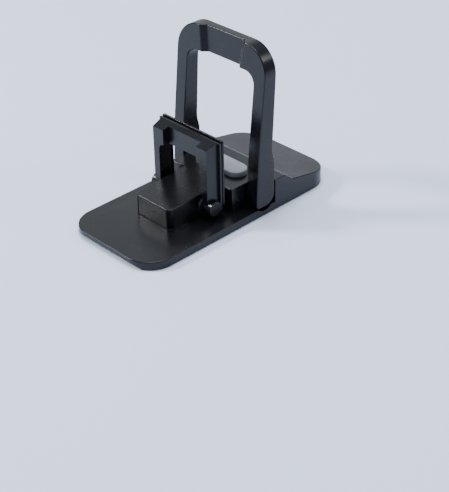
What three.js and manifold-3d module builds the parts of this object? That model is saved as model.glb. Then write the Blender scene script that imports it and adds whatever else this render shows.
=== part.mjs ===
// A pocket folding phone stand: a thin foot with a ramp at one end, a tall arch and a small frame that
// fold flat round a fixed tongue. Millimetres, +X across the width, +Y from the thin end to the ramp
// end, +Z up. The origin is on the surface the stand rests on, under the middle of the foot.
// The stand is modelled open, with both frames upright.
import * as THREE from 'three';
import { mergeVertices } from 'three/addons/utils/BufferGeometryUtils.js';
import Module from 'manifold-3d';

const wasm = await Module();
wasm.setup();

// ---- driving dimensions -------------------------------------------------------------------------
const LENGTH = 80; // foot, thin end to ramp end
const WIDTH = 38; // foot and arch
const CORNER = 9; // plan radius of the foot's and the arch's corners
const RIM_Z = 0.3; // lower rim of the body, just clear of the table
const PLATE_TOP = 2.9; // top of the thin plate
const PLATEAU_TOP = 10.8; // top of the hinge block and of the ridge
const RAMP_END_TOP = 4.5; // ramp height at the end of the foot
const RAMP_FOOT_TOP = 7.95; // ramp height where the step to the ridge begins
const TONGUE_END_TOP = 9.8; // tongue height at its thin end
const WALL = 1.4; // moulded walls and ceilings

const Y_TONGUE_END = -21.35;
const Y_PLATEAU = -0.6; // hinge block, edge towards the thin end
const Y_NOTCH_WALL = 13.2; // wall that the open arch leans on
const Y_RIDGE = 17.7;
const Y_STEP_FOOT = 21.5;
const TONGUE_HALF = 7.96;
const PLATEAU_HALF = 13.76;

const LIFT_TOP = 1.5; // the thin end is cut away underneath so that a finger can lift it
const Y_LIFT = -34.5;

const UNDER_HALF = 13.7; // recess in the underside that takes the cover and the foot pad
const Y_UNDER_FROM = -33.4;
const Y_UNDER_TO = 37.5;
const UNDER_CORNER = 6.3;
const SKIN_Z = 1.8; // underside of the thin plate's skin
const FIT = 0.3; // gap round parts that drop into a recess

const ARCH = {
  y: 8.5, // hinge axis
  z: 6.5,
  top: 48.9, // all heights and depths below are measured from the hinge axis
  back: 4.35,
  stepFrom: 11.5,
  stepTo: 14.7,
  railBack: 3.35,
  topBack: 5.4,
  front: -3.4,
  shinFront: -2.65,
  shinTop: 14.4,
  topFront: 0.9,
  bottom: -3.3,
  innerHalf: 14.4,
  innerTop: 40.5,
  innerCorner: 4.0,
  boreEnd: 17.6,
  recessTopHalf: 9.6, // the recess in the crossbar narrows downwards and its side walls slant
  recessBottomHalf: 8.2,
  recessDepth: 1.6,
};
const POCKET_R = 4.6; // swept by the square heel of an arm
const POCKET_FROM = 14.1;
const FRAME = {
  y: -7.3,
  z: 6.8,
  top: 21.5,
  topFront: 20.2,
  front: -2.0,
  back: 2.9,
  ledge: 3.2, // raised land that the cover is bonded to
  ledgeInset: 0.8,
  coverFrom: 3.35,
  coverTo: 4.0,
  coverTop: 22.1,
  coverBottom: 0.2,
  outerHalf: 13.4,
  frontHalf: 11.9,
  taperHalf: 12.4,
  taperEnd: 2.2, // sides and top slope out from the front to here, where a wider flange begins
  innerHalf: 9.4,
  innerTop: 15.0,
  coverInnerTop: 14.4,
  innerCorner: 2.0,
  boreEnd: 12.2,
  windowBottom: 1.7,
  legBottom: -1.4, // just below the axis, where the round hinge barrel closes the leg
  legGapHalf: 9.0, // the legs stand this far from the middle at the hinge
  barrel: 2.4,
  recessHalf: 7.3,
  recessDepth: 2.2,
};
const PAD = { y: 8.4, length: 19.9, width: 6.9, from: 10.1, top: 12.45, stemLength: 15.0, stemWidth: 3.0 };
const PAD_FIT = 0.2; // gap round the pill where it sits in its seat
const BOSS = { radius: 2.0, pilot: 0.95, pilotDepth: 3.5, skin: 0.6 }; // screw bosses under the body
const COVER_FROM = 0.8;
const COVER_TO = 1.6;
const FOOT_PAD_TOP = 0.6;
const SCREW = { head: 1.5, shank: 0.75, tip: 0.35, rim: 0.1, taper: 3.2, length: 3.7 };
const PIN_R = 1.0;
const BORE_R = 1.06;
const ROUND = 16; // sides of a pin and of its bore, which share their flats

// ---- materials ----------------------------------------------------------------------------------
const material = (color, roughness, metalness) =>
  new THREE.MeshStandardMaterial({ color, roughness, metalness });
const blackPlastic = material(0x26272a, 0.45, 0);
const greySilicone = material(0xc3c3cb, 0.7, 0);
const blackRubber = material(0x17171a, 0.9, 0);
const steel = material(0xb6b8bc, 0.3, 1);
const nylon = material(0x3b3b40, 0.6, 0);

// ---- solids -------------------------------------------------------------------------------------
// A closed three.js geometry as a solid that can be joined and cut.
function solid(geometry) {
  const bare = geometry.clone();
  bare.deleteAttribute('normal');
  bare.deleteAttribute('uv');
  const merged = mergeVertices(bare, 1e-4);
  const corners = merged.index.array;
  const kept = [];
  for (let i = 0; i < corners.length; i += 3) {
    const [a, b, c] = corners.slice(i, i + 3);
    if (a !== b && b !== c && c !== a) {
      kept.push(a, b, c);
    }
  }
  return new wasm.Manifold(
    new wasm.Mesh({
      numProp: 3,
      vertProperties: merged.attributes.position.array,
      triVerts: new Uint32Array(kept),
    })
  );
}

function geometryOf(body) {
  const { vertProperties, triVerts } = body.getMesh();
  const geometry = new THREE.BufferGeometry();
  geometry.setAttribute('position', new THREE.BufferAttribute(vertProperties, 3));
  geometry.setIndex(new THREE.BufferAttribute(triVerts, 1));
  geometry.computeVertexNormals();
  return geometry;
}

// A closed outline through corner points; each corner is [a, b] or [a, b, radius].
function outline(corners) {
  const shape = new THREE.Shape();
  const count = corners.length;
  corners.forEach(([a, b, radius = 0], i) => {
    const here = new THREE.Vector2(a, b);
    const before = new THREE.Vector2(...corners[(i + count - 1) % count]).sub(here).normalize();
    const after = new THREE.Vector2(...corners[(i + 1) % count]).sub(here).normalize();
    const half = Math.acos(before.dot(after)) / 2;
    const run = radius / Math.tan(half);
    const start = here.clone().addScaledVector(before, run);
    const end = here.clone().addScaledVector(after, run);
    if (i === 0) {
      shape.moveTo(start.x, start.y);
    } else {
      shape.lineTo(start.x, start.y);
    }
    if (radius > 0) {
      const inward = before.clone().add(after).normalize();
      const centre = here.clone().addScaledVector(inward, radius / Math.sin(half));
      const from = Math.atan2(start.y - centre.y, start.x - centre.x);
      const to = Math.atan2(end.y - centre.y, end.x - centre.x);
      const turn = Math.atan2(Math.sin(to - from), Math.cos(to - from));
      shape.absarc(centre.x, centre.y, radius, from, from + turn, turn < 0);
    }
  });
  shape.closePath();
  return shape;
}

function rectangle(halfWidth, from, to, radiusFrom = 0, radiusTo = radiusFrom) {
  return outline([
    [-halfWidth, from, radiusFrom],
    [halfWidth, from, radiusFrom],
    [halfWidth, to, radiusTo],
    [-halfWidth, to, radiusTo],
  ]);
}

const AXIS_X = new THREE.Vector3(1, 0, 0);
const AXIS_Y = new THREE.Vector3(0, 1, 0);
const AXIS_Z = new THREE.Vector3(0, 0, 1);
const extrude = (shape, depth, curveSegments) =>
  new THREE.ExtrudeGeometry(shape, { depth, bevelEnabled: false, curveSegments });

// An outline drawn in plan (x, y), from one height to another.
function upright(shape, from, to, arcs = 8) {
  return solid(extrude(shape, to - from, arcs).translate(0, 0, from));
}

// An outline drawn from the side (y, z), across the width.
function across(shape, from, to, arcs = 8) {
  const turned = new THREE.Matrix4().makeBasis(AXIS_Y, AXIS_Z, AXIS_X);
  return solid(extrude(shape, to - from, arcs).applyMatrix4(turned).translate(from, 0, 0));
}

// An outline drawn from the front (x, z), from one y to a larger one.
function frontal(shape, from, to, arcs = 8) {
  const turned = new THREE.Matrix4().makeBasis(AXIS_X, AXIS_Z, AXIS_Y.clone().negate());
  return solid(extrude(shape, to - from, arcs).applyMatrix4(turned).translate(0, to, 0));
}

// A round bar along X on a hinge axis.
function barAcross(radius, from, to, axis, sides = ROUND) {
  const bar = new THREE.CylinderGeometry(radius, radius, to - from, sides);
  return solid(bar.rotateZ(Math.PI / 2).translate((from + to) / 2, axis.y, axis.z));
}

// A round bar standing upright.
function uprightBar(radius, x, y, from, to) {
  const bar = new THREE.CylinderGeometry(radius, radius, to - from, ROUND);
  return solid(bar.rotateX(Math.PI / 2).translate(x, y, (from + to) / 2));
}

// A turned piece: profile points are [radius, distance along +X from the start].
function turnedAcross(profile, start, axis) {
  const points = profile.map(([r, along]) => new THREE.Vector2(r, along));
  const piece = new THREE.LatheGeometry(points, ROUND).rotateZ(-Math.PI / 2);
  return solid(piece.translate(start, axis.y, axis.z));
}

// A six-sided block from the four corners of its front face and the four behind them, each set
// starting at the lower left and going round by the lower right.
function block(front, back) {
  const faces = [
    [0, 1, 2, 3],
    [5, 4, 7, 6],
    [4, 5, 1, 0],
    [1, 5, 6, 2],
    [2, 6, 7, 3],
    [4, 0, 3, 7],
  ];
  const shape = new THREE.BufferGeometry();
  shape.setAttribute('position', new THREE.Float32BufferAttribute([...front, ...back].flat(), 3));
  shape.setIndex(faces.flatMap(([a, b, c, d]) => [a, b, c, a, c, d]));
  return solid(shape);
}

const mirrored = (body) => body.mirror([1, 0, 0]);
const bothSides = (near, far) => [
  [-far, -near],
  [near, far],
];

const stand = new THREE.Group();
function place(name, body, finish) {
  const mesh = new THREE.Mesh(geometryOf(body), finish);
  mesh.name = name;
  stand.add(mesh);
}

// ---- body: foot, ramp, hinge block and tongue in one moulding ---------------------------------------
const rampTopAt = (y) =>
  RAMP_FOOT_TOP - ((y - Y_STEP_FOOT) * (RAMP_FOOT_TOP - RAMP_END_TOP)) / (LENGTH / 2 - Y_STEP_FOOT);
const sideProfile = (drop, endInset) =>
  outline([
    [Y_TONGUE_END + endInset, RIM_Z],
    [LENGTH / 2 - endInset * 2, RIM_Z],
    [LENGTH / 2 - endInset * 2, rampTopAt(LENGTH / 2 - endInset * 2) - drop],
    [Y_STEP_FOOT - drop * 0.4, RAMP_FOOT_TOP - drop],
    [Y_RIDGE - drop * 0.4, PLATEAU_TOP - drop],
    [Y_PLATEAU, PLATEAU_TOP - drop],
    [Y_TONGUE_END + endInset, TONGUE_END_TOP - drop],
  ]);
const screwSpots = [
  [-10, 27.5],
  [10, 27.5],
  [-8.4, 2.9],
  [8.4, 2.9],
  [0, -17.2],
];
const footPlan = rectangle(WIDTH / 2, -LENGTH / 2, LENGTH / 2, CORNER);
const underLift = outline([
  [-LENGTH, RIM_Z - 1],
  [Y_LIFT, RIM_Z - 1],
  [Y_LIFT, RIM_Z],
  [-LENGTH / 2, LIFT_TOP],
  [-LENGTH, LIFT_TOP],
]);
const foot = upright(footPlan, RIM_Z, PLATE_TOP).subtract(across(underLift, -WIDTH, WIDTH));
const rampBlock = upright(footPlan, RIM_Z, PLATEAU_TOP + 1).intersect(
  upright(rectangle(WIDTH, Y_NOTCH_WALL, LENGTH), 0, PLATEAU_TOP + 2)
);
const hingeBlock = upright(rectangle(PLATEAU_HALF, Y_PLATEAU, Y_NOTCH_WALL + 1), RIM_Z, PLATEAU_TOP + 1);
const tongue = upright(rectangle(TONGUE_HALF, Y_TONGUE_END, Y_PLATEAU + 1, 1.8, 0), RIM_Z, PLATEAU_TOP + 1);
const upper = rampBlock
  .add(hingeBlock)
  .add(tongue)
  .intersect(across(sideProfile(0, 0), -WIDTH, WIDTH));

const rampRoom = rectangle(UNDER_HALF - FIT, Y_NOTCH_WALL + WALL, Y_UNDER_TO - FIT, 0, UNDER_CORNER - FIT);
const cavityPlan = upright(rectangle(TONGUE_HALF - WALL, -LENGTH / 2, Y_PLATEAU + WALL + 1), 0, PLATEAU_TOP)
  .add(upright(rectangle(PLATEAU_HALF - WALL, Y_PLATEAU + WALL, Y_NOTCH_WALL + WALL + 1), 0, PLATEAU_TOP))
  .add(upright(rampRoom, 0, PLATEAU_TOP));
const cavity = cavityPlan.intersect(across(sideProfile(WALL, WALL), -WIDTH, WIDTH));
const underRecess = upright(rectangle(UNDER_HALF, Y_UNDER_FROM, Y_UNDER_TO, UNDER_CORNER), 0, SKIN_Z);

let body = foot.add(upper).subtract(cavity).subtract(underRecess);
const bossRoom = across(sideProfile(BOSS.skin, BOSS.skin), -WIDTH, WIDTH);
for (const [x, y] of screwSpots) {
  const boss = uprightBar(BOSS.radius, x, y, SKIN_Z, PLATEAU_TOP);
  const pilot = uprightBar(BOSS.pilot, x, y, SKIN_Z - 0.5, SKIN_Z + BOSS.pilotDepth);
  body = body.add(boss.intersect(bossRoom)).subtract(pilot);
}
for (const [from, to] of bothSides(POCKET_FROM, WIDTH)) {
  body = body.subtract(barAcross(POCKET_R, from, to, ARCH, 40));
}
for (const [from, to] of bothSides(PLATEAU_HALF - WALL * 2, PLATEAU_HALF + 1)) {
  body = body.subtract(barAcross(BORE_R, from, to, ARCH));
}
body = body.subtract(barAcross(BORE_R, -TONGUE_HALF - 1, TONGUE_HALF + 1, FRAME));

const stadium = (length, width) =>
  rectangle(length / 2, PAD.y - width / 2, PAD.y + width / 2, width / 2 - 0.01);
const stemSlot = stadium(PAD.stemLength + FIT * 2, PAD.stemWidth + FIT * 2);
const seat = stadium(PAD.length + PAD_FIT * 2, PAD.width + PAD_FIT * 2);
body = body
  .subtract(upright(stemSlot, PLATEAU_TOP - WALL - 1, PLATEAU_TOP + 1))
  .subtract(upright(seat, PAD.from, PLATEAU_TOP + 1, 12));
place('main_body', body, blackPlastic);

// ---- rest pad: the pale pill on the hinge block, with a stem that plugs into the slot ----------------
const pill = upright(stadium(PAD.length, PAD.width), PAD.from, PAD.top, 12);
const stem = upright(stadium(PAD.stemLength, PAD.stemWidth), PLATEAU_TOP - WALL + 0.1, PAD.from + 0.1);
place('rest_pad', pill.add(stem), greySilicone);

// ---- underside: a cover plate, its screws and the anti-slip pad that hides them ----------------------
const underPlan = rectangle(UNDER_HALF - FIT, Y_UNDER_FROM + FIT, Y_UNDER_TO - FIT, UNDER_CORNER - FIT);
let cover = upright(underPlan, COVER_FROM, COVER_TO);
for (const [x, y] of screwSpots) {
  const sink = new THREE.CylinderGeometry(0.85, 1.75, 1.0, ROUND).rotateX(Math.PI / 2);
  cover = cover.subtract(solid(sink.translate(x, y, (COVER_FROM + COVER_TO) / 2)));
}
place('bottom_cover', cover, blackPlastic);
place('foot_pad', upright(underPlan, 0, FOOT_PAD_TOP), blackRubber);

const screwProfile = [
  [0, 0],
  [SCREW.head, 0],
  [SCREW.head, SCREW.rim],
  [SCREW.shank, SCREW.head / 2],
  [SCREW.shank, SCREW.taper],
  [SCREW.tip, SCREW.length],
  [0, SCREW.length],
];
screwSpots.forEach(([x, y], i) => {
  const points = screwProfile.map(([r, along]) => new THREE.Vector2(r, along));
  const screw = new THREE.LatheGeometry(points, ROUND).rotateX(Math.PI / 2);
  place(`cover_screw_${i + 1}`, solid(screw.translate(x, y, COVER_FROM + 0.05)), steel);
});

// ---- arch: the tall outer frame ----------------------------------------------------------------------
function archFromFront(half, from, to, corner) {
  return rectangle(half, ARCH.z + from, ARCH.z + to, 0, corner);
}
const archSide = outline(
  [
    [ARCH.front, ARCH.bottom, 1.0],
    [ARCH.back, ARCH.bottom, 3.6],
    [ARCH.back, ARCH.stepFrom, 1.5],
    [ARCH.railBack, ARCH.stepTo, 1.5],
    [ARCH.topBack, ARCH.top],
    [ARCH.topFront, ARCH.top],
    [ARCH.shinFront, ARCH.shinTop, 20],
    [ARCH.front, 0, 20],
  ].map(([y, z, radius]) => [ARCH.y + y, ARCH.z + z, radius])
);
let arch = frontal(archFromFront(WIDTH / 2, ARCH.bottom - 1, ARCH.top, CORNER), -5, 20, 12)
  .subtract(frontal(archFromFront(ARCH.innerHalf, ARCH.bottom - 2, ARCH.innerTop, ARCH.innerCorner), -6, 21))
  .intersect(across(archSide, -WIDTH, WIDTH, 10));

// The crossbar's front is cut back by a shallow recess that runs right through it, top to bottom.
// Its side walls slant inwards as much as it is deep, and the cutting tool starts ahead of the front.
const slope = (ARCH.topFront - ARCH.shinFront) / (ARCH.top - ARCH.shinTop);
const narrowing = (ARCH.recessTopHalf - ARCH.recessBottomHalf) / (ARCH.top - ARCH.innerTop);
function recessCorners(depth) {
  const corners = [];
  for (const [side, height] of [[-1, 30], [1, 30], [1, 52], [-1, 52]]) {
    const half = ARCH.recessBottomHalf + (height - ARCH.innerTop) * narrowing - depth;
    const front = ARCH.y + ARCH.shinFront + (height - ARCH.shinTop) * slope;
    corners.push([side * half, front + depth, ARCH.z + height]);
  }
  return corners;
}
arch = arch.subtract(block(recessCorners(-1), recessCorners(ARCH.recessDepth)));
for (const [from, to] of bothSides(ARCH.innerHalf - 1, ARCH.boreEnd)) {
  arch = arch.subtract(barAcross(BORE_R, from, to, ARCH));
}
place('arch', arch, blackPlastic);

// ---- small frame: tapered towards the front, with a cover bonded on its back -------------------------
function slabCorners(half, height, depth) {
  const { y, z, legBottom } = FRAME;
  return [
    [-half, y + depth, z + legBottom],
    [half, y + depth, z + legBottom],
    [half, y + depth, z + height],
    [-half, y + depth, z + height],
  ];
}
const taper = block(
  slabCorners(FRAME.frontHalf, FRAME.topFront, FRAME.front),
  slabCorners(FRAME.taperHalf, FRAME.top, FRAME.taperEnd)
);
const flange = block(
  slabCorners(FRAME.outerHalf, FRAME.top, FRAME.taperEnd),
  slabCorners(FRAME.outerHalf, FRAME.top, FRAME.back)
);
const frameWindow = (half, bottom, top) =>
  rectangle(half, FRAME.z + bottom, FRAME.z + top, 0, FRAME.innerCorner);
const landBottom = FRAME.z + FRAME.coverBottom + FRAME.ledgeInset;
const land = frontal(
  rectangle(FRAME.outerHalf - FRAME.ledgeInset, landBottom, FRAME.z + FRAME.top - FRAME.ledgeInset),
  FRAME.y + FRAME.back - 0.5,
  FRAME.y + FRAME.ledge
);
const legGap = rectangle(FRAME.legGapHalf, 0, FRAME.z + FRAME.windowBottom + 0.1);
const frontWindow = frameWindow(FRAME.innerHalf, FRAME.windowBottom, FRAME.innerTop);
const landWindow = frameWindow(FRAME.innerHalf + FRAME.ledgeInset, FRAME.windowBottom, FRAME.innerTop);
const crossbarRecess = rectangle(FRAME.recessHalf, FRAME.z + FRAME.innerTop - 2, FRAME.z + FRAME.top + 2);
let frame = taper
  .add(flange)
  .add(land)
  .subtract(frontal(legGap, FRAME.y - 10, FRAME.y + 10))
  .subtract(frontal(frontWindow, FRAME.y - 10, FRAME.y + FRAME.back))
  .subtract(frontal(landWindow, FRAME.y + FRAME.back, FRAME.y + 6))
  .subtract(frontal(crossbarRecess, FRAME.y - 10, FRAME.y + FRAME.front + FRAME.recessDepth))
  .add(barAcross(FRAME.barrel, -FRAME.outerHalf, -FRAME.legGapHalf, FRAME, 32))
  .add(barAcross(FRAME.barrel, FRAME.legGapHalf, FRAME.outerHalf, FRAME, 32));
for (const [from, to] of bothSides(FRAME.legGapHalf - 1, FRAME.boreEnd)) {
  frame = frame.subtract(barAcross(BORE_R, from, to, FRAME));
}
place('small_frame', frame, blackPlastic);

const frameCover = frontal(
  rectangle(FRAME.outerHalf, FRAME.z + FRAME.coverBottom, FRAME.z + FRAME.coverTop, 0, 0.8),
  FRAME.y + FRAME.coverFrom,
  FRAME.y + FRAME.coverTo
).subtract(
  frontal(frameWindow(FRAME.innerHalf, -1, FRAME.coverInnerTop), FRAME.y, FRAME.y + 8)
);
place('small_frame_cover', frameCover, blackPlastic);

// ---- friction hinges: a pin fixed in each leg, sprung against the wall it turns in --------------------
// inner: end of the pin inside the body; face: outer face of the body's wall; leg: inner face of the leg.
const hinges = [
  { name: 'arch', axis: ARCH, inner: 10.4, face: PLATEAU_HALF, leg: ARCH.innerHalf },
  { name: 'frame', axis: FRAME, inner: 4.6, face: TONGUE_HALF, leg: FRAME.legGapHalf },
];
const CLIP_FROM_WALL = 1.2; // inner face of the retaining clip, from the wall
const CLIP_THICK = 0.4;
const CLIP_R = 1.9;
const CLIP_SLACK = 0.1; // the groove is this much wider than the clip at each face
const GROOVE_R = 0.7;
const PIN_CHAMFER = 0.15;
const PIN_SHORT = 0.2; // gap between the pin's end and the end of its blind bore
const SPACER_FIT = 0.12;
const SPACER_R = 2.3;
const WASHER_HOLE_R = 1.15;
const SPRING = { radius: 2.1, thick: 0.2, dish: 0.3, fromWall: 0.6 };
for (const { name, axis, inner, face, leg } of hinges) {
  const wall = face - WALL;
  const spacerLong = leg - face - SPACER_FIT * 2;
  const clipAt = wall - CLIP_FROM_WALL;
  const grooveFrom = clipAt - CLIP_SLACK - inner;
  const grooveTo = clipAt + CLIP_THICK + CLIP_SLACK - inner;
  const long = axis.boreEnd - PIN_SHORT - inner;
  const pin = turnedAcross(
    [
      [0, 0],
      [PIN_R - PIN_CHAMFER, 0],
      [PIN_R, PIN_CHAMFER],
      [PIN_R, grooveFrom],
      [GROOVE_R, grooveFrom],
      [GROOVE_R, grooveTo],
      [PIN_R, grooveTo],
      [PIN_R, long - PIN_CHAMFER],
      [PIN_R - PIN_CHAMFER, long],
      [0, long],
    ],
    inner,
    axis
  );
  const spring = turnedAcross(
    [
      [WASHER_HOLE_R, 0],
      [SPRING.radius, SPRING.dish],
      [SPRING.radius, SPRING.dish + SPRING.thick],
      [WASHER_HOLE_R, SPRING.thick],
      [WASHER_HOLE_R, 0],
    ],
    wall - SPRING.fromWall,
    axis
  );
  const spacer = turnedAcross(
    [
      [WASHER_HOLE_R, 0],
      [SPACER_R, 0],
      [SPACER_R, spacerLong],
      [WASHER_HOLE_R, spacerLong],
      [WASHER_HOLE_R, 0],
    ],
    face + SPACER_FIT,
    axis
  );
  const clipPlan = new THREE.Shape();
  clipPlan.absarc(0, 0, CLIP_R, -0.7, Math.PI + 0.7, false);
  clipPlan.absarc(0, 0, GROOVE_R + 0.08, Math.PI + 0.4, -0.4, true);
  clipPlan.closePath();
  const clip = across(clipPlan, clipAt, clipAt + CLIP_THICK, 20).translate([0, axis.y, axis.z]);
  const pieces = [
    ['pin', pin, steel],
    ['spring_washer', spring, steel],
    ['spacer', spacer, nylon],
    ['clip', clip, steel],
  ];
  for (const [piece, shape, finish] of pieces) {
    place(`${name}_${piece}_right`, shape, finish);
    place(`${name}_${piece}_left`, mirrored(shape), finish);
  }
}

export default stand;
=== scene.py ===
import math

import bpy
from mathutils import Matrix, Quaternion, Vector


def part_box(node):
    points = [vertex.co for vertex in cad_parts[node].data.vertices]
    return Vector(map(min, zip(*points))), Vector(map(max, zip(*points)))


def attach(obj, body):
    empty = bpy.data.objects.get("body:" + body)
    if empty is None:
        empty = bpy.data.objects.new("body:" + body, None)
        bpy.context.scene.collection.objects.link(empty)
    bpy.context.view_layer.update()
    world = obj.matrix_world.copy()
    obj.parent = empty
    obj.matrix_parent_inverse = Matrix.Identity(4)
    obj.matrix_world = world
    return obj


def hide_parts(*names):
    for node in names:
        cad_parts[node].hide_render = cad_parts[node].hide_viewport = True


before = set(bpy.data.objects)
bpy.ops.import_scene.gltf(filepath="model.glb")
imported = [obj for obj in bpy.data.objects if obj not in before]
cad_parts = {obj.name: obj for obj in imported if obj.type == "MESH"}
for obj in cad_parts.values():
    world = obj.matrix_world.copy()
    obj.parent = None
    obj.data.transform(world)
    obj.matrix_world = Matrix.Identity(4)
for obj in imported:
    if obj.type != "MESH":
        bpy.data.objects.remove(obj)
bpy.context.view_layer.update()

# ---- Foot -----------------------------------------------------------------------------------------
# The thin plate that the stand rests on, the bottom layer of the one-piece body. Injection-moulded
# black ABS with rounded corners; its thin end is cut away underneath so that a finger can lift it.
MM = 0.001
HALF_WIDTH = 19.0
HALF_LENGTH = 40.0
RIM_Z = 0.3
PLATE_TOP = 2.9
FOOT_CORNER = 9.0
RIM_ROUND = 0.3


def block(low, high):
    """A box between two corners, in millimetres."""
    bpy.ops.object.select_all(action="DESELECT")
    middle = [(a + b) / 2 * MM for a, b in zip(low, high)]
    bpy.ops.mesh.primitive_cube_add(size=1, location=middle)
    piece = bpy.context.active_object
    piece.scale = [(b - a) * MM for a, b in zip(low, high)]
    bpy.ops.object.transform_apply(location=True, rotation=True, scale=True)
    return piece


def edit(piece, mode="EDGE"):
    """Opens a piece in edit mode with nothing selected."""
    bpy.ops.object.select_all(action="DESELECT")
    piece.select_set(True)
    bpy.context.view_layer.objects.active = piece
    bpy.ops.object.mode_set(mode="EDIT")
    bpy.ops.mesh.select_mode(type=mode)
    bpy.ops.mesh.select_all(action="DESELECT")
    bpy.ops.object.mode_set(mode="OBJECT")


def round_edges(piece, radius, segments, wanted):
    """Rounds the edges whose two ends, in millimetres, the rule wants."""
    edit(piece)
    points = [v.co / MM for v in piece.data.vertices]
    for edge in piece.data.edges:
        a, b = (points[i] for i in edge.vertices)
        edge.select = bool(wanted(a, b))
    bpy.ops.object.mode_set(mode="EDIT")
    bpy.ops.mesh.bevel(offset=radius * MM, segments=segments, affect="EDGES")
    bpy.ops.object.mode_set(mode="OBJECT")


def cut_off(piece, point, direction):
    """Cuts away all that lies beyond a plane, in its direction, and closes the cut."""
    edit(piece)
    bpy.ops.object.mode_set(mode="EDIT")
    bpy.ops.mesh.select_all(action="SELECT")
    middle = [c * MM for c in point]
    bpy.ops.mesh.bisect(plane_co=middle, plane_no=direction, use_fill=True, clear_outer=True, threshold=1e-7)
    bpy.ops.object.mode_set(mode="OBJECT")


def combine(piece, other, operation):
    """Joins another solid to a piece, or cuts it out, and uses it up."""
    bpy.ops.object.select_all(action="DESELECT")
    bpy.context.view_layer.objects.active = piece
    joint = piece.modifiers.new("joint", "BOOLEAN")
    joint.operation = operation
    joint.solver = "EXACT"
    joint.object = other
    bpy.ops.object.modifier_apply(modifier=joint.name)
    bpy.data.objects.remove(other)


def upright_at(x, y):
    """A rule for the upright edges that stand at plus or minus x, and at y."""
    return lambda a, b: abs(a.x - b.x) < 0.01 and all(abs(abs(p.x) - x) + abs(p.y - y) < 0.02 for p in (a, b))


main_body = block((-HALF_WIDTH, -HALF_LENGTH, RIM_Z), (HALF_WIDTH, HALF_LENGTH, PLATE_TOP))
main_body.name = "body_moulding"
round_edges(main_body, FOOT_CORNER, 20, lambda a, b: abs(a.z - b.z) > 1)
cut_off(main_body, (0, -HALF_LENGTH, 1.5), (0, -1.2, -5.5))
round_edges(main_body, RIM_ROUND, 3, lambda a, b: min(a.z, b.z) > PLATE_TOP - 0.01)

# ---- Ramp -----------------------------------------------------------------------------------------
# The wedge at the thick end, with the ridge that the open arch leans against. It is moulded with
# the foot; a slanted step joins the ridge to the ramp.
NOTCH_WALL = 13.2
BLOCK_TOP = 10.8


def side_profile(points, half):
    """A sheet cut to an outline seen from the side (y, z), extruded across the width."""
    bpy.ops.object.select_all(action="DESELECT")
    bpy.ops.mesh.primitive_circle_add(vertices=len(points), fill_type="NGON")
    piece = bpy.context.active_object
    for vertex, (y, z) in zip(piece.data.vertices, points):
        vertex.co = Vector((-half, y, z)) * MM
    bpy.ops.object.mode_set(mode="EDIT")
    bpy.ops.mesh.select_all(action="SELECT")
    bpy.ops.mesh.extrude_region_move(TRANSFORM_OT_translate={"value": (2 * half * MM, 0, 0)})
    bpy.ops.mesh.select_all(action="SELECT")
    bpy.ops.mesh.normals_make_consistent(inside=False)
    bpy.ops.object.mode_set(mode="OBJECT")
    return piece


ramp_points = [(NOTCH_WALL, RIM_Z), (HALF_LENGTH, RIM_Z), (HALF_LENGTH, 4.5), (21.5, 7.95), (17.7, BLOCK_TOP)]
ramp = side_profile(ramp_points + [(NOTCH_WALL, BLOCK_TOP)], HALF_WIDTH)
round_edges(ramp, FOOT_CORNER, 20, upright_at(HALF_WIDTH, HALF_LENGTH))
round_edges(ramp, 0.5, 3, lambda a, b: all(abs(p.y - 17.7) < 0.01 for p in (a, b)))
round_edges(ramp, 0.5, 3, lambda a, b: all(abs(p.y - 21.5) < 0.01 for p in (a, b)))
round_edges(ramp, RIM_ROUND, 3, lambda a, b: (
    min(a.z, b.z) > 4.3 and (a - b).length > 0.02
    and not (abs(a.x + b.x) < 0.01 and abs(a.x - b.x) > 30)
    and max(a.y, b.y) > NOTCH_WALL + 0.01 or abs(a.y - HALF_LENGTH) + abs(b.y - HALF_LENGTH) < 0.02
    and min(a.z, b.z) > 4.3
))
combine(main_body, ramp, "UNION")

# ---- Hinge block and tongue -----------------------------------------------------------------------
# The raised block between the arch's feet, and the tongue that both frames fold down around. They
# are part of the same moulding: hollow, with upright walls that carry the hinge pins.
TONGUE_END = -21.35
BLOCK_FRONT = -0.6
TONGUE_TILT = (BLOCK_TOP - 9.8) / (BLOCK_FRONT - TONGUE_END)

hinge_block = block((-13.76, BLOCK_FRONT, RIM_Z), (13.76, 15.0, BLOCK_TOP))
round_edges(hinge_block, 0.3, 3, lambda a, b: abs(a.z - b.z) > 1 and a.y < 0)
round_edges(hinge_block, 0.25, 3, lambda a, b: min(a.z, b.z) > 10.7 and min(a.y, b.y) < 14)
combine(main_body, hinge_block, "UNION")

tongue = block((-7.96, TONGUE_END, RIM_Z), (7.96, 2.0, 12.0))
round_edges(tongue, 1.8, 8, lambda a, b: abs(a.z - b.z) > 1 and a.y < -20)
cut_off(tongue, (0, BLOCK_FRONT, BLOCK_TOP), (0, -TONGUE_TILT, 1))
cut_off(tongue, (0, BLOCK_FRONT, BLOCK_TOP), (0, 0, 1))
round_edges(tongue, 0.28, 3, lambda a, b: min(a.z, b.z) > 9.7 and max(a.y, b.y) < 1.9 and (
    abs(a.x - b.x) < 10 or a.y < -20
))
combine(main_body, tongue, "UNION")

bead = block((-8.14, TONGUE_END - 0.18, PLATE_TOP - 1), (8.14, TONGUE_END + 3, PLATE_TOP + 0.2))
round_edges(bead, 1.95, 8, lambda a, b: abs(a.z - b.z) > 1 and a.y < -20)
round_edges(bead, 0.16, 2, lambda a, b: min(a.z, b.z) > PLATE_TOP + 0.1)
combine(main_body, bead, "UNION")

# ---- Body hollows ---------------------------------------------------------------------------------
# What is moulded out of the body: the open underside, the room for the hinges, the rounded pockets
# that the arch's heels turn in, the bores for the pins and the seat of the pale pad.
ARCH_AXIS = Vector((0, 8.5, 6.5))
FRAME_AXIS = Vector((0, -7.3, 6.8))
PAD_Y = 8.4


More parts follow.
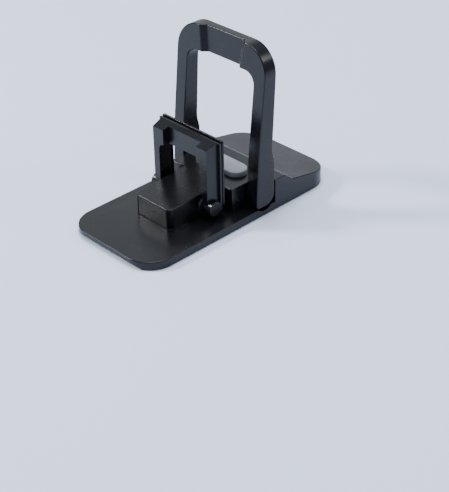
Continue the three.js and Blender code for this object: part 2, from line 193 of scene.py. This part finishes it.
def bar(axis, radius, low, high, sides=48):
    """A round bar along the width, on a hinge's axis."""
    bpy.ops.object.select_all(action="DESELECT")
    middle = (Vector(((low + high) / 2, 0, 0)) + axis) * MM
    bpy.ops.mesh.primitive_cylinder_add(
        vertices=sides, radius=radius * MM, depth=(high - low) * MM, location=middle, rotation=(0, math.pi / 2, 0)
    )
    bpy.ops.object.transform_apply(location=True, rotation=True, scale=True)
    return bpy.context.active_object


def long_round(length, width, low, high):
    """A block with half-round ends over the hinge block, for the pad and what it plugs into."""
    piece = block((-length / 2, PAD_Y - width / 2, low), (length / 2, PAD_Y + width / 2, high))
    round_edges(piece, width / 2 - 0.01, 16, lambda a, b: abs(a.z - b.z) > 0.5 * (high - low))
    return piece


hollow = side_profile([(-19.95, 1.0), (2.0, 1.0), (2.0, 9.4), (BLOCK_FRONT, 9.4), (-19.95, 8.46)], 6.56)
combine(hollow, block((-12.36, 0.8, 1.0), (12.36, 14.8, 9.4)), "UNION")
room = side_profile([(14.6, 1.0), (37.2, 1.0), (37.2, 3.62), (21.0, 6.6), (17.2, 9.4), (14.6, 9.4)], 13.4)
round_edges(room, 6.0, 8, upright_at(13.4, 37.2))
combine(hollow, room, "UNION")
for x, y, ceiling in [(-10, 27.5, 6.2), (10, 27.5, 6.2), (-8.4, 2.9, 10.0), (8.4, 2.9, 10.0), (0, -17.2, 9.2)]:
    bpy.ops.mesh.primitive_cylinder_add(
        vertices=32, radius=2.0 * MM, depth=(ceiling - 1.8) * MM, location=Vector((x, y, (ceiling + 1.8) / 2)) * MM
    )
    bpy.ops.object.transform_apply(location=True, rotation=True, scale=True)
    boss = bpy.context.active_object
    bpy.ops.mesh.primitive_cylinder_add(
        vertices=24, radius=0.95 * MM, depth=4 * MM, location=Vector((x, y, 3.3)) * MM
    )
    bpy.ops.object.transform_apply(location=True, rotation=True, scale=True)
    combine(boss, bpy.context.active_object, "DIFFERENCE")
    combine(hollow, boss, "DIFFERENCE")
combine(main_body, hollow, "DIFFERENCE")
under = block((-13.7, -33.4, -1.0), (13.7, 37.5, 1.8))
round_edges(under, 6.3, 10, lambda a, b: abs(a.z - b.z) > 1)
combine(main_body, under, "DIFFERENCE")
for side in (-1, 1):
    ends = sorted((side * 14.1, side * 22.0))
    combine(main_body, bar(ARCH_AXIS, 4.6, *ends, sides=72), "DIFFERENCE")
    combine(main_body, bar(ARCH_AXIS, 1.06, *sorted((side * 10.0, side * 14.05))), "DIFFERENCE")
    combine(main_body, bar(FRAME_AXIS, 1.06, *sorted((side * 5.0, side * 8.5))), "DIFFERENCE")
combine(main_body, long_round(20.3, 7.3, 10.1, 12.0), "DIFFERENCE")
combine(main_body, long_round(15.6, 3.6, 8.0, 12.0), "DIFFERENCE")


def moulded_plastic(name, colour, roughness, grain, sheen):
    """Satin moulded plastic: fine spark-eroded grain, uneven gloss from handling, and rubbed edges."""
    material = bpy.data.materials.new(name)
    material.use_nodes = True
    nodes, links = material.node_tree.nodes, material.node_tree.links
    shader = nodes["Principled BSDF"]
    shader.inputs["IOR"].default_value = 1.53
    shader.inputs["Specular IOR Level"].default_value = sheen
    place = nodes.new("ShaderNodeTexCoord")
    smears = nodes.new("ShaderNodeTexNoise")
    smears.inputs["Scale"].default_value = 90
    smears.inputs["Detail"].default_value = 4
    links.new(place.outputs["Object"], smears.inputs["Vector"])
    gloss = nodes.new("ShaderNodeMapRange")
    gloss.inputs["From Min"].default_value = 0.3
    gloss.inputs["From Max"].default_value = 0.7
    gloss.inputs["To Min"].default_value = roughness - 0.05
    gloss.inputs["To Max"].default_value = roughness + 0.06
    links.new(smears.outputs["Fac"], gloss.inputs["Value"])
    links.new(gloss.outputs["Result"], shader.inputs["Roughness"])
    tones = nodes.new("ShaderNodeTexNoise")
    tones.inputs["Scale"].default_value = 35
    tones.inputs["Detail"].default_value = 3
    links.new(place.outputs["Object"], tones.inputs["Vector"])
    shade = nodes.new("ShaderNodeValToRGB")
    shade.color_ramp.elements[0].position = 0.3
    shade.color_ramp.elements[0].color = [c * 0.9 for c in colour] + [1]
    shade.color_ramp.elements[1].position = 0.7
    shade.color_ramp.elements[1].color = [c * 1.1 for c in colour] + [1]
    links.new(tones.outputs["Fac"], shade.inputs["Fac"])
    rubbed = nodes.new("ShaderNodeMix")
    rubbed.data_type = "RGBA"
    rubbed.inputs["B"].default_value = [min(1, c * 1.6 + 0.004) for c in colour] + [1]
    shape = nodes.new("ShaderNodeNewGeometry")
    edges = nodes.new("ShaderNodeMapRange")
    edges.inputs["From Min"].default_value = 0.52
    edges.inputs["From Max"].default_value = 0.62
    edges.inputs["To Max"].default_value = 0.5
    links.new(shape.outputs["Pointiness"], edges.inputs["Value"])
    links.new(edges.outputs["Result"], rubbed.inputs["Factor"])
    links.new(shade.outputs["Color"], rubbed.inputs["A"])
    links.new(rubbed.outputs["Result"], shader.inputs["Base Color"])
    pits = nodes.new("ShaderNodeTexNoise")
    pits.inputs["Scale"].default_value = grain
    pits.inputs["Detail"].default_value = 2
    links.new(place.outputs["Object"], pits.inputs["Vector"])
    relief = nodes.new("ShaderNodeBump")
    relief.inputs["Strength"].default_value = 0.25
    relief.inputs["Distance"].default_value = 0.00002
    links.new(pits.outputs["Fac"], relief.inputs["Height"])
    links.new(relief.outputs["Normal"], shader.inputs["Normal"])
    return material


def dress(piece, name, material, body, slot, *stands_for):
    """Gives a finished piece its name, finish and place in the assembly."""
    piece.name = name
    piece.data.materials.clear()
    piece.data.materials.append(material)
    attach(piece, body)
    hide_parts(*stands_for)


def smooth(piece, angle=32):
    """Shades round stretches smooth, and keeps real edges crisp and flat faces flat."""
    bpy.ops.object.select_all(action="DESELECT")
    piece.select_set(True)
    bpy.context.view_layer.objects.active = piece
    bpy.ops.object.shade_smooth_by_angle(angle=math.radians(angle))
    flats = piece.modifiers.new("flats", "WEIGHTED_NORMAL")
    flats.keep_sharp = True
    flats.weight = 100
    bpy.ops.object.modifier_apply(modifier=flats.name)


BLACK = (0.0035, 0.0037, 0.0046)
black_plastic = moulded_plastic("black_plastic", BLACK, 0.27, 3200, 0.3)
smooth(main_body)
dress(main_body, "body_moulding", black_plastic, "base", "black_plastic", "main_body")

# ---- Rest pad -------------------------------------------------------------------------------------
# The pale pad that a phone's lower edge touches. Soft grey silicone, pressed into its seat in the
# hinge block and held by a stem that plugs into a slot below.
pad = long_round(19.9, 6.9, 10.15, 12.45)
round_edges(pad, 0.45, 5, lambda a, b: min(a.z, b.z) > 12.4)
combine(pad, long_round(15.0, 3.0, 9.5, 11.0), "UNION")
smooth(pad, 40)
silicone = bpy.data.materials.new("grey_silicone")
silicone.use_nodes = True
nodes, links = silicone.node_tree.nodes, silicone.node_tree.links
shader = nodes["Principled BSDF"]
shader.inputs["Subsurface Weight"].default_value = 0.1
shader.inputs["Subsurface Scale"].default_value = 0.001
place = nodes.new("ShaderNodeTexCoord")
dust = nodes.new("ShaderNodeTexNoise")
dust.inputs["Scale"].default_value = 260
dust.inputs["Detail"].default_value = 5
links.new(place.outputs["Object"], dust.inputs["Vector"])
tint = nodes.new("ShaderNodeValToRGB")
tint.color_ramp.elements[0].position = 0.35
tint.color_ramp.elements[0].color = (0.27, 0.27, 0.285, 1)
tint.color_ramp.elements[1].position = 0.65
tint.color_ramp.elements[1].color = (0.32, 0.32, 0.335, 1)
links.new(dust.outputs["Fac"], tint.inputs["Fac"])
links.new(tint.outputs["Color"], shader.inputs["Base Color"])
drag = nodes.new("ShaderNodeMapRange")
drag.inputs["To Min"].default_value = 0.5
drag.inputs["To Max"].default_value = 0.75
links.new(dust.outputs["Fac"], drag.inputs["Value"])
links.new(drag.outputs["Result"], shader.inputs["Roughness"])
skin = nodes.new("ShaderNodeBump")
skin.inputs["Strength"].default_value = 0.2
skin.inputs["Distance"].default_value = 0.00003
links.new(dust.outputs["Fac"], skin.inputs["Height"])
links.new(skin.outputs["Normal"], shader.inputs["Normal"])
dress(pad, "pale_pad", silicone, "base", "grey_silicone", "rest_pad")

# ---- Hinge hardware -------------------------------------------------------------------------------
# Four friction hinges: a steel pin pressed blind into each leg, turning in the body's wall, with a
# spring washer and a retaining clip inside and a nylon spacer between the wall and the leg.
steel = bpy.data.materials.new("plated_steel")
steel.use_nodes = True
nodes, links = steel.node_tree.nodes, steel.node_tree.links
shader = nodes["Principled BSDF"]
shader.inputs["Metallic"].default_value = 1.0
shader.inputs["Base Color"].default_value = (0.52, 0.53, 0.55, 1)
place = nodes.new("ShaderNodeTexCoord")
along = nodes.new("ShaderNodeMapping")
along.inputs["Scale"].default_value = (200, 5000, 5000)
links.new(place.outputs["Object"], along.inputs["Vector"])
turning = nodes.new("ShaderNodeTexNoise")
turning.inputs["Scale"].default_value = 1
turning.inputs["Detail"].default_value = 3
links.new(along.outputs["Vector"], turning.inputs["Vector"])
polish = nodes.new("ShaderNodeMapRange")
polish.inputs["To Min"].default_value = 0.22
polish.inputs["To Max"].default_value = 0.45
links.new(turning.outputs["Fac"], polish.inputs["Value"])
links.new(polish.outputs["Result"], shader.inputs["Roughness"])
marks = nodes.new("ShaderNodeBump")
marks.inputs["Strength"].default_value = 0.15
marks.inputs["Distance"].default_value = 0.00001
links.new(turning.outputs["Fac"], marks.inputs["Height"])
links.new(marks.outputs["Normal"], shader.inputs["Normal"])
nylon = moulded_plastic("nylon", (0.045, 0.045, 0.05), 0.55, 1800, 0.4)


def refinish(node, material):
    """Gives a CAD solid that stays in view its finish."""
    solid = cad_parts[node]
    solid.data.materials.clear()
    solid.data.materials.append(material)
    bpy.ops.object.select_all(action="DESELECT")
    solid.select_set(True)
    bpy.context.view_layer.objects.active = solid
    bpy.ops.object.shade_smooth_by_angle(angle=math.radians(30))


for hinge in ("arch", "frame"):
    for side in ("right", "left"):
        for part in ("pin", "spring_washer", "clip"):
            refinish(f"{hinge}_{part}_{side}", steel)
        refinish(f"{hinge}_spacer_{side}", nylon)

# ---- Arch -----------------------------------------------------------------------------------------
# The tall frame that a phone leans back on. One black moulding: two tapered arms on rounded heels
# and a crossbar with a shallow slanted recess right across its front.
BORE_RADIUS = 1.06
ARCH_TOP = 48.9
ARCH_TOP_FRONT = 0.9
SHIN_TOP = 14.4
SHIN_FRONT = -2.65
arch_outline = [
    (-3.4, -3.3), (4.35, -3.3), (4.35, 11.5), (3.35, 14.7), (5.4, ARCH_TOP), (ARCH_TOP_FRONT, ARCH_TOP),
    (SHIN_FRONT, SHIN_TOP), (-3.4, 0.0),
]
arch = side_profile([(ARCH_AXIS.y + y, ARCH_AXIS.z + z) for y, z in arch_outline], HALF_WIDTH)


def along_width(y, z):
    """A rule for edges across the width at a place measured from the arch's axis."""
    place = (ARCH_AXIS.y + y, ARCH_AXIS.z + z)
    return lambda a, b: all(math.hypot(p.y - place[0], p.z - place[1]) < 0.02 for p in (a, b))


round_edges(arch, 1.0, 4, along_width(-3.4, -3.3))
round_edges(arch, 3.6, 10, along_width(4.35, -3.3))
round_edges(arch, 1.4, 4, along_width(4.35, 11.5))
round_edges(arch, 1.4, 4, along_width(3.35, 14.7))
round_edges(arch, 3.0, 4, along_width(SHIN_FRONT, SHIN_TOP))
round_edges(arch, FOOT_CORNER, 20, lambda a, b: (
    abs(a.y - b.y) > 1 and min(a.z, b.z) > ARCH_AXIS.z + ARCH_TOP - 0.02 and abs(a.x) > 18.9
))
window = block((-14.4, -20, -10), (14.4, 40, ARCH_AXIS.z + 40.5))
round_edges(window, 4.0, 12, lambda a, b: abs(a.y - b.y) > 1 and min(a.z, b.z) > 20)
combine(arch, window, "DIFFERENCE")

slope = (ARCH_TOP_FRONT - SHIN_FRONT) / (ARCH_TOP - SHIN_TOP)
narrowing = (9.6 - 8.2) / (ARCH_TOP - 40.5)
recess = block((-1, -1, 30), (1, 1.6, 52))
for vertex in recess.data.vertices:
    side, depth, height = vertex.co / MM
    half = 8.2 + (height - 40.5) * narrowing - depth
    front = SHIN_FRONT + (height - SHIN_TOP) * slope
    vertex.co = (ARCH_AXIS + Vector((side * half, front + depth, height))) * MM
round_edges(recess, 0.7, 4, lambda a, b: abs(a.z - b.z) > 10 and min(a.y, b.y) > ARCH_AXIS.y + 1)
combine(arch, recess, "DIFFERENCE")
for side in (-1, 1):
    combine(arch, bar(ARCH_AXIS, BORE_RADIUS, *sorted((side * 14.0, side * 17.6))), "DIFFERENCE")


def soften(piece, width, segments, angle=40):
    """Takes the sharpness off every edge left by cutting."""
    bpy.ops.object.select_all(action="DESELECT")
    bpy.context.view_layer.objects.active = piece
    rounding = piece.modifiers.new("rounding", "BEVEL")
    rounding.width = width * MM
    rounding.segments = segments
    rounding.limit_method = "ANGLE"
    rounding.angle_limit = math.radians(angle)
    rounding.miter_outer = "MITER_ARC"
    bpy.ops.object.modifier_apply(modifier=rounding.name)


soften(arch, 0.35, 3)
smooth(arch)
dress(arch, "tall_arch", black_plastic, "arch", "black_plastic", "arch")

# ---- Small frame ----------------------------------------------------------------------------------
# The short frame in front that keeps the phone from sliding off. A black moulding with a flange
# round its back, a recess across the front of its crossbar, and legs that end in round barrels.
FRAME_HALF = 13.4
FRAME_TOP = 21.5
FRAME_FRONT = -2.0
BARREL_FROM = 9.0
small = block((-12.4, FRAME_FRONT, -1.4), (12.4, 2.25, FRAME_TOP))
for vertex in small.data.vertices:
    if vertex.co.y < 0:
        vertex.co.x *= 11.9 / 12.4
        if vertex.co.z > 0:
            vertex.co.z = 20.2 * MM
flange = block((-FRAME_HALF, 2.2, -1.4), (FRAME_HALF, 2.9, FRAME_TOP))
combine(small, flange, "UNION")
combine(small, block((-12.6, 2.5, 1.0), (12.6, 3.2, 20.7)), "UNION")
combine(small, block((-BARREL_FROM, -10, -10), (BARREL_FROM, 10, 1.8)), "DIFFERENCE")
for half, low, high in [(9.4, -20, 2.9), (10.2, 2.9, 6)]:
    window = block((-half, low, 1.7), (half, high, 15.0))
    round_edges(window, 2.0, 8, lambda a, b: abs(a.y - b.y) > 1 and min(a.z, b.z) > 14)
    combine(small, window, "DIFFERENCE")
combine(small, block((-7.3, -4, 13), (7.3, FRAME_FRONT + 2.2, 24)), "DIFFERENCE")
soften(small, 0.16, 2)
for side in (-1, 1):
    barrel = bar(Vector((0, 0, 0)), 2.4, *sorted((side * BARREL_FROM, side * FRAME_HALF)), sides=64)
    combine(small, barrel, "UNION")
    bore = bar(Vector((0, 0, 0)), BORE_RADIUS, *sorted((side * 8.0, side * 12.2)))
    combine(small, bore, "DIFFERENCE")
smooth(small)
bpy.ops.object.select_all(action="DESELECT")
small.select_set(True)
bpy.context.view_layer.objects.active = small
small.location = FRAME_AXIS * MM
bpy.ops.object.transform_apply(location=True)
dress(small, "front_frame", black_plastic, "small_frame", "black_plastic", "small_frame")

# ---- Small frame's cover --------------------------------------------------------------------------
# The thin flat plate that a phone's back edge rests against. Moulded in the same black plastic and
# bonded to the land on the small frame's back, with a fine seam all round.
cover_low, cover_high = (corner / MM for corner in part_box("small_frame_cover"))
cover = block(cover_low, cover_high)
round_edges(cover, 0.8, 6, lambda a, b: abs(a.y - b.y) > 0.1 and min(a.z, b.z) > 20)
window = block((-9.4, -10, 0), (9.4, 5, FRAME_AXIS.z + 14.4))
round_edges(window, 2.0, 8, lambda a, b: abs(a.y - b.y) > 1 and min(a.z, b.z) > 14)
combine(cover, window, "DIFFERENCE")
soften(cover, 0.15, 3)
smooth(cover)
dress(cover, "front_frame_cover", black_plastic, "small_frame", "black_plastic", "small_frame_cover")

# ---- Bottom cover and screws ----------------------------------------------------------------------
# A black plate with countersunk holes that closes the hollow underside. Five plated screws hold it
# to the bosses inside the body, and the foot pad hides them.
refinish("bottom_cover", black_plastic)
for number in range(1, 6):
    refinish(f"cover_screw_{number}", steel)

# ---- Foot pad -------------------------------------------------------------------------------------
# The anti-slip pad that the stand rests on. Thin black rubber with a fine pebbled face, cut to the
# outline of the bottom cover and stuck over it.
pad_low, pad_high = (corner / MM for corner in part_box("foot_pad"))
foot_pad = block(pad_low, pad_high)
round_edges(foot_pad, 6.0, 12, lambda a, b: abs(a.z - b.z) > 0.3)
soften(foot_pad, 0.12, 2)
smooth(foot_pad)
rubber = moulded_plastic("black_rubber", (0.012, 0.012, 0.013), 0.75, 1400, 0.3)
dress(foot_pad, "anti_slip_pad", rubber, "base", "black_rubber", "foot_pad")

# ---- Table, light and camera ----------------------------------------------------------------------
# A plain pale table that runs out of view, a broad soft light overhead, a small strong one at the
# front left that picks out the edges, and weaker ones behind.
bpy.ops.object.select_all(action="DESELECT")
bpy.ops.mesh.primitive_plane_add(size=6, location=(0, 0, 0))
table = bpy.context.active_object
table.name = "table"
paper = bpy.data.materials.new("pale_table")
paper.use_nodes = True
nodes, links = paper.node_tree.nodes, paper.node_tree.links
nodes["Principled BSDF"].inputs["Base Color"].default_value = (0.80, 0.85, 1.0, 1)
nodes["Principled BSDF"].inputs["Roughness"].default_value = 0.7
table.data.materials.append(paper)

world = bpy.data.worlds.new("studio")
bpy.context.scene.world = world
world.use_nodes = True
world.node_tree.nodes["Background"].inputs["Color"].default_value = (0.70, 0.80, 1.0, 1)
world.node_tree.nodes["Background"].inputs["Strength"].default_value = 0.5


def softbox(name, place, aim, size, power, colour=(1, 1, 1)):
    """A soft rectangular light that faces a point, all in metres and watts."""
    bpy.ops.object.light_add(type="AREA", location=place)
    lamp = bpy.context.active_object
    lamp.name = name
    lamp.data.shape = "RECTANGLE"
    lamp.data.size, lamp.data.size_y = size
    lamp.data.energy = power
    lamp.data.color = colour
    lamp.rotation_euler = (Vector(aim) - Vector(place)).to_track_quat("-Z", "Y").to_euler()


softbox("overhead", (-0.05, 0.1, 0.9), (0, 0, 0), (0.5, 0.5), 9.0, (0.86, 0.92, 1))
softbox("front_left", (-0.50, -0.44, 0.48), (0, 0, 0.02), (0.12, 0.12), 6.0, (0.95, 0.97, 1))
softbox("back_left", (-0.62, 0.62, 0.40), (0, 0, 0.02), (0.8, 0.6), 1.2)
softbox("back_right", (0.45, 0.46, 0.5), (0, 0, 0.02), (0.2, 0.2), 1.0)

bpy.ops.object.camera_add()
camera = bpy.context.active_object
camera.name = "camera"
eye = Vector((0.2615, -0.2414, 0.2157))
aim = Vector((0.0225, -0.0126, 0.0))
camera.location = eye
camera.rotation_mode = "QUATERNION"
camera.rotation_quaternion = (aim - eye).to_track_quat("-Z", "Y") @ Quaternion((0, 0, 1), math.radians(-1.11))
camera.data.lens = 95.73
camera.data.sensor_width = 36
camera.data.clip_start = 0.01
bpy.context.scene.camera = camera
